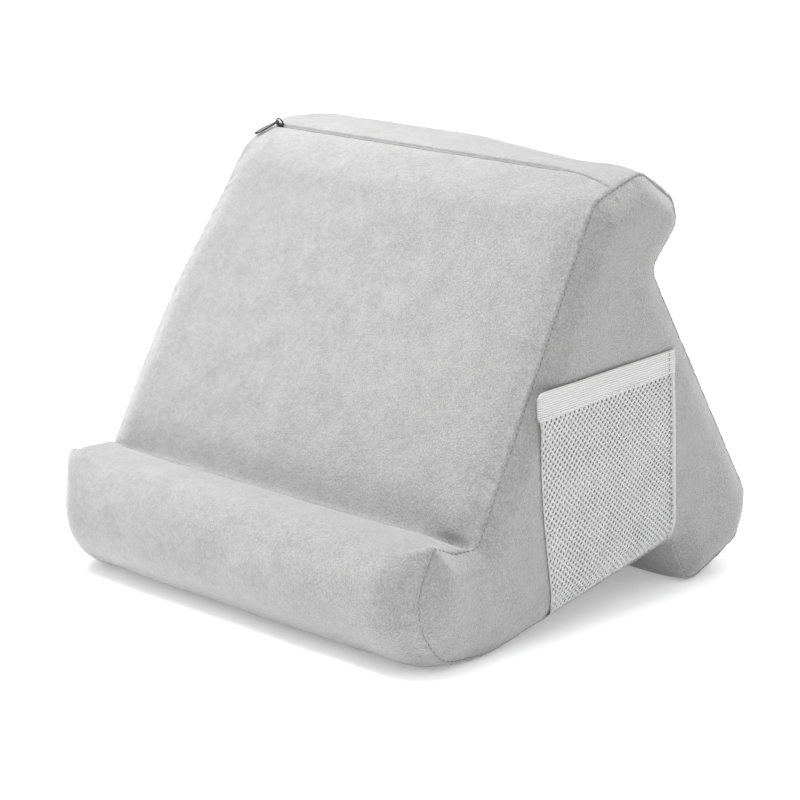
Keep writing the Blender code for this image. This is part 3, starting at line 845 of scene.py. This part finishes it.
def stitches(name, node, path, out, look="thread", length=2.3, gap=0.9, radius=0.3):
    """Thread in separate stitches along a path, each bowed out of the cloth in its middle."""
    path, out = np.asarray(path, float), np.asarray(out, float)
    steps = np.linalg.norm(np.diff(path, axis=0), axis=1)
    along = np.concatenate([[0.0], np.cumsum(steps)])
    count = max(1, int(along[-1] / (length + gap)))
    pitch = along[-1] / count
    shares = np.array([0.0, 0.12, 0.35, 0.65, 0.88, 1.0])
    width = radius * np.array([0.35, 0.85, 1.0, 1.0, 0.85, 0.35])
    rise = radius * np.array([-0.7, -0.1, 0.35, 0.35, -0.1, -0.7])
    angles = np.linspace(0, 2 * math.pi, 6, endpoint=False)
    points, faces = [], []
    for i in range(count):
        spots = (i + 0.5) * pitch + (shares - 0.5) * length
        centre = np.stack([np.interp(spots, along, path[:, k]) for k in range(3)], -1)
        up = np.array([np.interp(spots[2], along, out[:, k]) for k in range(3)])
        ahead = centre[-1] - centre[0]
        ahead /= np.linalg.norm(ahead)
        side = np.cross(ahead, up)
        side /= np.linalg.norm(side)
        up = np.cross(side, ahead)
        start = len(points) * len(angles)
        for spot, wide, high in zip(centre, width, rise):
            turned = np.cos(angles)[:, None] * side + np.sin(angles)[:, None] * up
            points.append(spot + up * high + turned * wide)
        faces += tube_faces(len(shares), len(angles), start, caps_turned=True)
    obj = mesh_object(name, lean(np.concatenate(points)), faces, LOOKS[look])
    stand_in(obj, node)


def build_seam_threads():
    """Stitches round both side seams, sunk in the pile at the back of the head, and along the rest. Their
    dark thread is painted seam shade.
    """
    closed = np.concatenate([seam_loop, seam_loop[:1]])
    ahead = unit(np.gradient(closed, axis=0))
    for sign, side in ((-1, "left"), (1, "right")):
        out = np.stack([np.full(len(closed), sign * 0.7), ahead[:, 1] * 0.7, -ahead[:, 0] * 0.7], 1)
        path = np.column_stack([np.full(len(closed), sign * SEAM_X), closed])
        sunk = 0.15 + 0.6 * smooth(45.0, 56.0, closed[:, 0]) * smooth(186.0, 198.0, closed[:, 1])
        stitches(side + "_side_stitches", side + "_side_seam_thread", path - out * sunk[:, None], out)
    for name, panel, other, row, low, high in (
        ("valley", "face", "lip", -1, -THREAD_END, THREAD_END),
        ("base_front", "lip", "base", -1, -THREAD_END, THREAD_END),
        ("base_rear", "base", "back", -1, -THREAD_END, THREAD_END),
        ("top_left", "face", "back", 0, -THREAD_END, ZIP_LEFT),
        ("top_right", "face", "back", 0, ZIP_RIGHT, THREAD_END),
    ):
        line = STRIPS[panel]["points"][row]
        line = line[(line[:, 0] >= low) & (line[:, 0] <= high)]
        mean = line.mean(0)
        near, far = (8, -9) if row == 0 else (-9, 8)  # rows beside the seam, on each panel
        out = STRIPS[panel]["points"][near].mean(0) - mean
        across = STRIPS[other]["points"][far].mean(0) - mean
        out = out / np.linalg.norm(out) + across / np.linalg.norm(across)
        out = out / max(np.linalg.norm(out), 1e-6)
        outs = np.tile(out, (len(line), 1))
        stitches(name + "_stitches", name + "_seam_thread", line - outs * 0.1, outs)


build_seam_threads()

# ---- pocket

POCKET_TOP_FRONT = (-48.8, 136.4)
POCKET_TOP_REAR = (61.3, 140.2)
POCKET_BOTTOM_REAR = (67.3, 32.2)
POCKET_BOTTOM_FRONT_Z = 10.8
POCKET_FRONT_X = ((0.0, 0.13, 0.35, 1.0), (142.2, 141.8, 139.9, 138.8))  # down its front edge
FOLD_SHARE = 0.05  # of the pocket's width that goes into its front wall and fold
BAND_SHARE = 15.2 / (POCKET_TOP_FRONT[1] - POCKET_BOTTOM_FRONT_Z)  # of the pocket's depth
BAND_RIBS = 13
POCKET_WIDTH = 113.0
POCKET_DEPTH = 117.0
NET_ACROSS = 3.6  # size of the net's cells
NET_DOWN = 1.85
NET_THICK = 0.45
NET_END = 0.985  # share across where the net goes under the binding
HOLE_ACROSS = 0.375  # half sizes of a cell's hole, and how far it slants
HOLE_DOWN = 0.45
HOLE_SLANT = 0.45


def side_at(y, z):
    """X of the right side cloth at places on it."""
    flat = np.stack([y, z], -1).reshape(-1, 2)
    gaps = np.where(inside_loop(flat, seam_loop), nearest_on_loop(flat, seam_loop)[0], 0.0)
    return (SEAM_X + side_height(1, flat[:, 0], flat[:, 1], gaps)).reshape(np.shape(y))


def pocket_surface(share, down):
    """Points of the pocket's cloth at shares across, from its front wall's foot, and down it.

    The mouth stands straight from its front edge to its rear one, and the front wall turns back
    under it to the side cloth.
    """
    share, down = np.broadcast_arrays(np.asarray(share, float), np.asarray(down, float))
    front_y = POCKET_TOP_FRONT[0] + 6.5 * down + 8.0 * down**2 - 2.8 * smooth(0.16, 0.09, down)
    front_z = POCKET_TOP_FRONT[1] + (POCKET_BOTTOM_FRONT_Z - POCKET_TOP_FRONT[1]) * down
    rear_y = POCKET_TOP_REAR[0] + (POCKET_BOTTOM_REAR[0] - POCKET_TOP_REAR[0]) * down
    rear_z = POCKET_TOP_REAR[1] + (POCKET_BOTTOM_REAR[1] - POCKET_TOP_REAR[1]) * down
    front_x = np.interp(down, *POCKET_FRONT_X)
    rear_x = side_at(rear_y, rear_z) + 0.7
    wall = np.clip(share / FOLD_SHARE, 0, 1)
    face = np.clip((share - FOLD_SHARE) / (1 - FOLD_SHARE), 0, 1)
    tuck = 1.15 * np.maximum(0, front_x - side_at(front_y, front_z)) * (1 - wall)
    along = face + np.where(share < FOLD_SHARE, tuck / (rear_y - front_y), 0.0)
    y = front_y + (rear_y - front_y) * along
    z = front_z + (rear_z - front_z) * along
    z = z - 2.2 * np.exp(-((face / 0.02) ** 2)) * smooth(0.05, 0.0, down)
    under = side_at(y, z) + 0.8
    x = front_x + (rear_x - front_x) * face
    x = np.where(share < FOLD_SHARE, under + (front_x - under) * np.sin(wall * math.pi / 2), x)
    x = under + np.log1p(np.exp((x - under) / 0.35)) * 0.35
    x = x + (under - 0.3 - x) * smooth(0.97, 1.0, down)
    return np.stack([x, y, z], -1)


def pocket_sheet(name, shares, downs, look, thickness, lift):
    """A sheet on the pocket's surface, lifted off it by one height for each place down it."""
    points = pocket_surface(shares[None, :], downs[:, None])
    points = points + grid_normals(points) * np.broadcast_to(lift, downs.shape)[:, None, None]
    faces = grid_faces(len(downs), len(shares))
    return thicken(mesh_object(name, points.reshape(-1, 3), faces, LOOKS[look]), thickness)


def build_net():
    """Knitted net: cells with one slanted hole each, every other row half a cell along."""
    columns = round(NET_END * POCKET_WIDTH / NET_ACROSS)
    rows = round((1 - BAND_SHARE) * POCKET_DEPTH / NET_DOWN)
    grid_k, grid_j = [], []
    index = {}

    def vertex(k, j):
        key = (round(k, 4), round(j, 4))
        if key not in index:
            index[key] = len(grid_k)
            grid_k.append(k)
            grid_j.append(j)
        return index[key]

    faces = []
    turn = np.array([3, 2, 1, 0, -1, -2, -3, -4]) * math.pi / 4
    for j in range(rows):
        shift = j % 2
        if shift:
            for k in (0, 2 * columns - 1):
                faces.append((vertex(k, j), vertex(k, j + 1), vertex(k + 1, j + 1), vertex(k + 1, j)))
        for i in range(columns - shift):
            k = 2 * i + shift
            ring = [(k, j), (k + 1, j), (k + 2, j), (k + 2, j + 0.5)]
            ring += [(k + 2, j + 1), (k + 1, j + 1), (k, j + 1), (k, j + 0.5)]
            outer = [vertex(*spot) for spot in ring]
            across = HOLE_ACROSS + 0.10 * noise.noise(Vector((i * 0.21, j * 0.11, 1.0)))
            across += 0.05 * noise.noise(Vector((i * 0.9, j * 0.9, 1.0)))
            tall = HOLE_DOWN + 0.03 * noise.noise(Vector((i * 0.25, j * 0.13, 5.0)))
            inner = []
            for angle in turn:
                up = math.sin(angle) * tall
                inner.append(vertex(k + 1 + math.cos(angle) * across + up * HOLE_SLANT, j + 0.5 - up))
            for n in range(8):
                m = (n + 1) % 8
                faces.append((outer[n], inner[n], inner[m], outer[m]))
    shares = NET_END * np.array(grid_k, float) / (2 * columns)
    under_band = BAND_SHARE * 0.9
    downs = under_band + (1 - under_band) * np.array(grid_j, float) / rows
    obj = mesh_object("pocket_net", pocket_surface(shares, downs), faces, LOOKS["mesh"])
    stand_in(obj, "pocket_mesh")
    return thicken(obj, NET_THICK)


def build_pocket():
    net = build_net()
    shares = np.concatenate([np.linspace(0, FOLD_SHARE, 14), np.linspace(FOLD_SHARE, 1, 64)[1:]])
    downs = np.linspace(0, BAND_SHARE, 105)
    ribs = 0.12 * (1 - np.cos(2 * math.pi * downs / BAND_SHARE * BAND_RIBS)) / 2
    ribs = ribs - 0.25 * (smooth(0.006, 0.0, downs) + smooth(BAND_SHARE - 0.006, BAND_SHARE, downs))
    elastic = pocket_sheet("pocket_elastic", shares, downs, "elastic", 1.0, 0.55 + ribs)
    stand_in(elastic, "pocket_elastic_band")
    downs = np.linspace(0.0, 1.0, 80)
    binding = pocket_sheet("pocket_binding", np.linspace(0.98, 1.0, 6), downs, "binding", 0.5, 0.25)
    stand_in(binding, "pocket_rear_binding")
    out = np.tile([1.0, 0.0, 0.0], (60, 1))
    for name, look, shares, downs, lift, sizes in (
        ("band", "pale_thread", (FOLD_SHARE, 0.99), (BAND_SHARE - 0.012,) * 2, 0.72, (2.2, 0.8, 0.22)),
        ("rear", "thread", (0.955, 0.955), (0.005, 0.99), 0.78, (2.0, 0.9, 0.2)),
        ("front", "pale_thread", (FOLD_SHARE + 0.03,) * 2, (0.005, 0.97), 0.6, (2.0, 0.9, 0.2)),
    ):
        path = pocket_surface(np.linspace(*shares, 60), np.linspace(*downs, 60)) + out * lift
        stitches(f"pocket_{name}_stitches", f"pocket_{name}_stitching", path, out, look, *sizes)


build_pocket()

# ---- zip

ZIP_POINT = np.array([0.0, 16.99, 237.72])
ZIP_UP = np.array([0.0, -0.35837, 0.93358])
ZIP_BACK = np.array([0.0, 0.93358, 0.35837])
ZIP_ALONG = np.array([1.0, 0.0, 0.0])
COIL_TURNS = 200
COIL_STEPS = 10  # in each turn
SLIDER_X = -117.0
ARCH_RADIUS = 2.5
ARCH_HEIGHT = 1.9
TAB_LENGTH = 14.6
TAB_YAW = math.radians(62)
TAB_DROOP = math.radians(7.2)
TAB_HALF_THICK = 0.62
TAB_START = 1.2  # from the arch's axis
TAB_EYE = 1.24
TAB_RECESS = 0.24


def zip_place(local, x=0.0):
    """From the zip's own frame, its y up the slope and its z out of the cloth."""
    local = np.asarray(local, float)
    place = ZIP_POINT + ZIP_ALONG * (local[..., :1] + x)
    return place + ZIP_BACK * local[..., 1:2] + ZIP_UP * local[..., 2:3]


def sweep(path, ring, ups):
    """A ring of (across, up) offsets carried along a path; returns points and faces with caps."""
    ahead = unit(np.gradient(path, axis=0))
    side = unit(np.cross(ahead, ups))
    up = np.cross(side, ahead)
    points = path[:, None] + side[:, None] * ring[None, :, :1] + up[:, None] * ring[None, :, 1:]
    return points.reshape(-1, 3), tube_faces(*points.shape[:2], sides_turned=True)


def circle(radius, sides, flat=1.0):
    angles = np.linspace(0, 2 * math.pi, sides, endpoint=False)
    return np.stack([np.cos(angles) * radius, np.sin(angles) * radius * flat], 1)


def build_coils():
    """The coil on each tape's edge, down in the slit."""
    for name, sign in (("zip_coil_front", -1), ("zip_coil_rear", 1)):
        angles = np.linspace(0, 2 * math.pi * COIL_TURNS, COIL_TURNS * COIL_STEPS)
        x = np.linspace(-120.0, 93.0, len(angles))
        local = np.stack([x, sign * 1.6 + 0.75 * np.cos(angles), -4.0 + 0.65 * np.sin(angles)], 1)
        points, faces = sweep(zip_place(local), circle(0.22, 5), ZIP_ALONG[None])
        stand_in(mesh_object(name + "_turns", points, faces, LOOKS["coil"]), name)


def rounded_box(low, high, radius, taper=0.0):
    """A box with rounded upright edges and eased rims, narrowing to its ends by a share."""
    low, high = np.array(low, float), np.array(high, float)
    centre, half = (low + high) / 2, (high - low) / 2
    sides = 40
    angles = np.linspace(0, 2 * math.pi, sides, endpoint=False) + 0.01
    cos, sin = np.cos(angles), np.sin(angles)
    square_x = np.sign(cos) * np.abs(cos) ** 0.45
    square_y = np.sign(sin) * np.abs(sin) ** 0.45
    eased = 1 - radius / half[2] * 0.6
    rings = []
    for height, shrink in ((-1, radius), (-eased, 0.2 * radius), (eased, 0.2 * radius), (1, radius)):
        x = square_x * (half[0] - shrink)
        y = square_y * (half[1] - shrink) * (1 - taper * (x / half[0]) ** 2)
        z = np.full(sides, centre[2] + half[2] * height)
        rings.append(np.stack([centre[0] + x, centre[1] + y, z], 1))
    return np.concatenate(rings), tube_faces(len(rings), sides, sides_turned=True, caps_turned=True)


def join(shapes):
    points, faces = [], []
    for more, corners in shapes:
        start = sum(len(p) for p in points)
        points.append(more)
        faces += [tuple(i + start for i in face) for face in corners]
    return np.concatenate(points), faces


def build_slider():
    """The slider's top plate, neck, bottom plate and flanges, with the arch for its pull tab."""
    shapes = [
        rounded_box((-3.0, -1.3, 0.35), (3.0, 1.3, 1.1), 0.22, 0.3),
        rounded_box((-1.6, -0.42, -6.0), (1.6, 0.42, 0.6), 0.1),
        rounded_box((-3.0, -3.5, -6.3), (3.0, 3.5, -5.3), 0.25, 0.2),
        rounded_box((-3.0, 2.95, -5.6), (3.0, 3.55, -3.1), 0.15),
        rounded_box((-3.0, -3.55, -5.6), (3.0, -2.95, -3.1), 0.15),
    ]
    angles = np.linspace(0, math.pi, 22)
    x, z = -ARCH_RADIUS * np.cos(angles), ARCH_HEIGHT + ARCH_RADIUS * np.sin(angles)
    arch = np.stack([x, 0 * angles, z], 1)
    arch = np.concatenate([[(-ARCH_RADIUS, 0, 0.8)], arch, [(ARCH_RADIUS, 0, 0.8)]])
    shapes.append(sweep(arch, circle(0.45, 10), np.array([[0.0, 1.0, 0.0]])))
    points, faces = join(shapes)
    slider = mesh_object("slider_body", zip_place(points, SLIDER_X), faces, LOOKS["metal"], "zip_slider")
    stand_in(slider, "zip_slider")
    slider.data.set_sharp_from_angle(angle=math.radians(50))


def tab_half_width(u):
    """Half of the tab's width at a distance from its arch: a slim drop, widest near its end."""
    share = np.clip((u - TAB_START) / (TAB_LENGTH - TAB_START), 0, 1)
    drop = np.sin(math.pi * np.minimum(share**1.5, 1)) ** 0.8
    return 0.72 * np.sqrt(np.maximum(0, 1 - share**8)) + 1.10 * drop


def build_tab():
    """The pull tab: a slim plate with a recessed strip on both faces, and its eye."""
    turned = math.pi + TAB_YAW
    level = math.cos(TAB_DROOP)
    along = np.array([math.cos(turned) * level, math.sin(turned) * level, -math.sin(TAB_DROOP)])
    across = np.array([-math.sin(turned), math.cos(turned), 0.0])
    upward = np.cross(along, across)
    stops = TAB_START + (TAB_LENGTH - TAB_START) * (1 - np.cos(np.linspace(0, math.pi, 34))) / 2
    wide = np.maximum(tab_half_width(stops), 0.04)
    depth = TAB_RECESS * smooth(3.2, 4.0, stops) * smooth(13.6, 12.8, stops)
    # Round the plate: share of its half width, share of its half thickness, in the recess or not
    top = [(-0.9, 0.72, 0), (-0.62, 1.0, 0), (-0.50, 1.0, 1)]
    top += [(0.50, 1.0, 1), (0.62, 1.0, 0), (0.9, 0.72, 0)]
    ring = [(-1.0, 0.0, 0)] + top + [(1.0, 0.0, 0)] + [(a, -b, c) for a, b, c in reversed(top)]
    points = []
    for u, w, d in zip(stops, wide, depth):
        for a, b, cut in ring:
            high = b * TAB_HALF_THICK - np.sign(b) * d * cut
            points.append(along * u + across * (a * w) + upward * high)
    rows, columns = len(stops), len(ring)
    faces = tube_faces(rows, columns, sides_turned=True)
    sides = range((rows - 1) * columns)
    strip = [n % columns in (3, 11) and 3.6 < stops[n // columns] < 13.2 for n in sides]
    angles = np.linspace(0, 2 * math.pi, 26)
    eye = along * np.cos(angles)[:, None] * TAB_EYE + across * np.sin(angles)[:, None] * TAB_EYE
    points, faces = join([(np.array(points), faces), sweep(eye, circle(0.36, 8, 1.1), upward[None])])
    local = points + np.array([-ARCH_RADIUS, 0, ARCH_HEIGHT])
    tab = mesh_object("pull_tab_plate", zip_place(local, SLIDER_X), faces, LOOKS["metal"], "pull_tab")
    tab.data.materials.append(LOOKS["pull_strip"])
    for polygon, light in zip(tab.data.polygons, strip):
        polygon.material_index = int(light)
    tab.data.set_sharp_from_angle(angle=math.radians(35))
    stand_in(tab, "zip_pull_tab")


build_coils()
build_slider()
build_tab()
for node, look in (
    ("zip_tape_front", "tape"), ("zip_tape_rear", "tape"),
    ("zip_end_stop", "metal"), ("zip_start_stop", "metal"),
):
    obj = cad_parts[node]
    for slot in obj.material_slots:
        slot.material = LOOKS[look]
    ease = obj.modifiers.new("eased_edges", "BEVEL")
    ease.width = 0.15 * MM
    ease.segments = 2
    ease.limit_method = "ANGLE"

# ---- stage


def add_area(name, location, size, power, target=(0.0, 0.0, 0.1), beam=180.0):
    light = bpy.data.lights.new(name, "AREA")
    light.spread = math.radians(beam)
    light.shape = "DISK"
    light.size = size
    light.energy = power
    obj = bpy.data.objects.new(name, light)
    bpy.context.scene.collection.objects.link(obj)
    obj.location = location
    obj.rotation_euler = (Vector(target) - obj.location).to_track_quat("-Z", "Y").to_euler()


WORLD_LOW = 0.28  # brightness of the sky straight below and straight above
WORLD_HIGH = 1.42
FLOOR_HALF = 4.0
CAMERA_PLACE = (0.98451, -1.02872, 0.47718)
CAMERA_TURN = math.radians(43.97)
CAMERA_DIP = math.radians(14.91)
CAMERA_LENS = 118.5


def build_stage():
    scene = bpy.context.scene
    scene.view_settings.view_transform = "Standard"
    world = bpy.data.worlds.new("studio")
    scene.world = world
    world.use_nodes = True
    tree = world.node_tree
    place = tree.nodes.new("ShaderNodeTexCoord")
    split = tree.nodes.new("ShaderNodeSeparateXYZ")
    brighter = tree.nodes.new("ShaderNodeMapRange")
    brighter.inputs["To Min"].default_value = WORLD_LOW
    brighter.inputs["To Max"].default_value = WORLD_HIGH
    tree.links.new(place.outputs["Generated"], split.inputs["Vector"])
    tree.links.new(split.outputs["Z"], brighter.inputs["Value"])
    tree.links.new(brighter.outputs["Result"], tree.nodes["Background"].inputs["Strength"])
    tree.nodes["Background"].inputs["Color"].default_value = (1.0, 1.0, 1.0, 1.0)
    floor_look = bpy.data.materials.new("pale_floor")
    floor_look.use_nodes = True
    shader = floor_look.node_tree.nodes["Principled BSDF"]
    shader.inputs["Base Color"].default_value = (0.93, 0.93, 0.93, 1.0)
    shader.inputs["Roughness"].default_value = 0.9
    shader.inputs["Emission Color"].default_value = (1.0, 1.0, 1.0, 1.0)
    shader.inputs["Emission Strength"].default_value = 0.25
    mesh = bpy.data.meshes.new("floor")
    half = FLOOR_HALF
    corners = [(-half, -half, 0), (half, -half, 0), (half, half, 0), (-half, half, 0)]
    mesh.from_pydata(corners, [], [(0, 1, 2, 3)])
    mesh.materials.append(floor_look)
    floor = bpy.data.objects.new("floor", mesh)
    scene.collection.objects.link(floor)
    add_area("key", (-0.5, -0.38, 2.25), size=1.1, power=57.0)
    add_area("crown", (0.0, 1.2, 1.35), size=0.50, power=0.2, target=(0.0, 0.05, 0.2), beam=20.0)
    camera = bpy.data.cameras.new("camera")
    camera.lens = CAMERA_LENS
    camera.sensor_width = 36.0
    obj = bpy.data.objects.new("camera", camera)
    scene.collection.objects.link(obj)
    obj.location = CAMERA_PLACE
    level = math.cos(CAMERA_DIP)
    ahead = Vector((-math.sin(CAMERA_TURN) * level, math.cos(CAMERA_TURN) * level, -math.sin(CAMERA_DIP)))
    obj.rotation_euler = ahead.to_track_quat("-Z", "Y").to_euler()
    scene.camera = obj


build_stage()
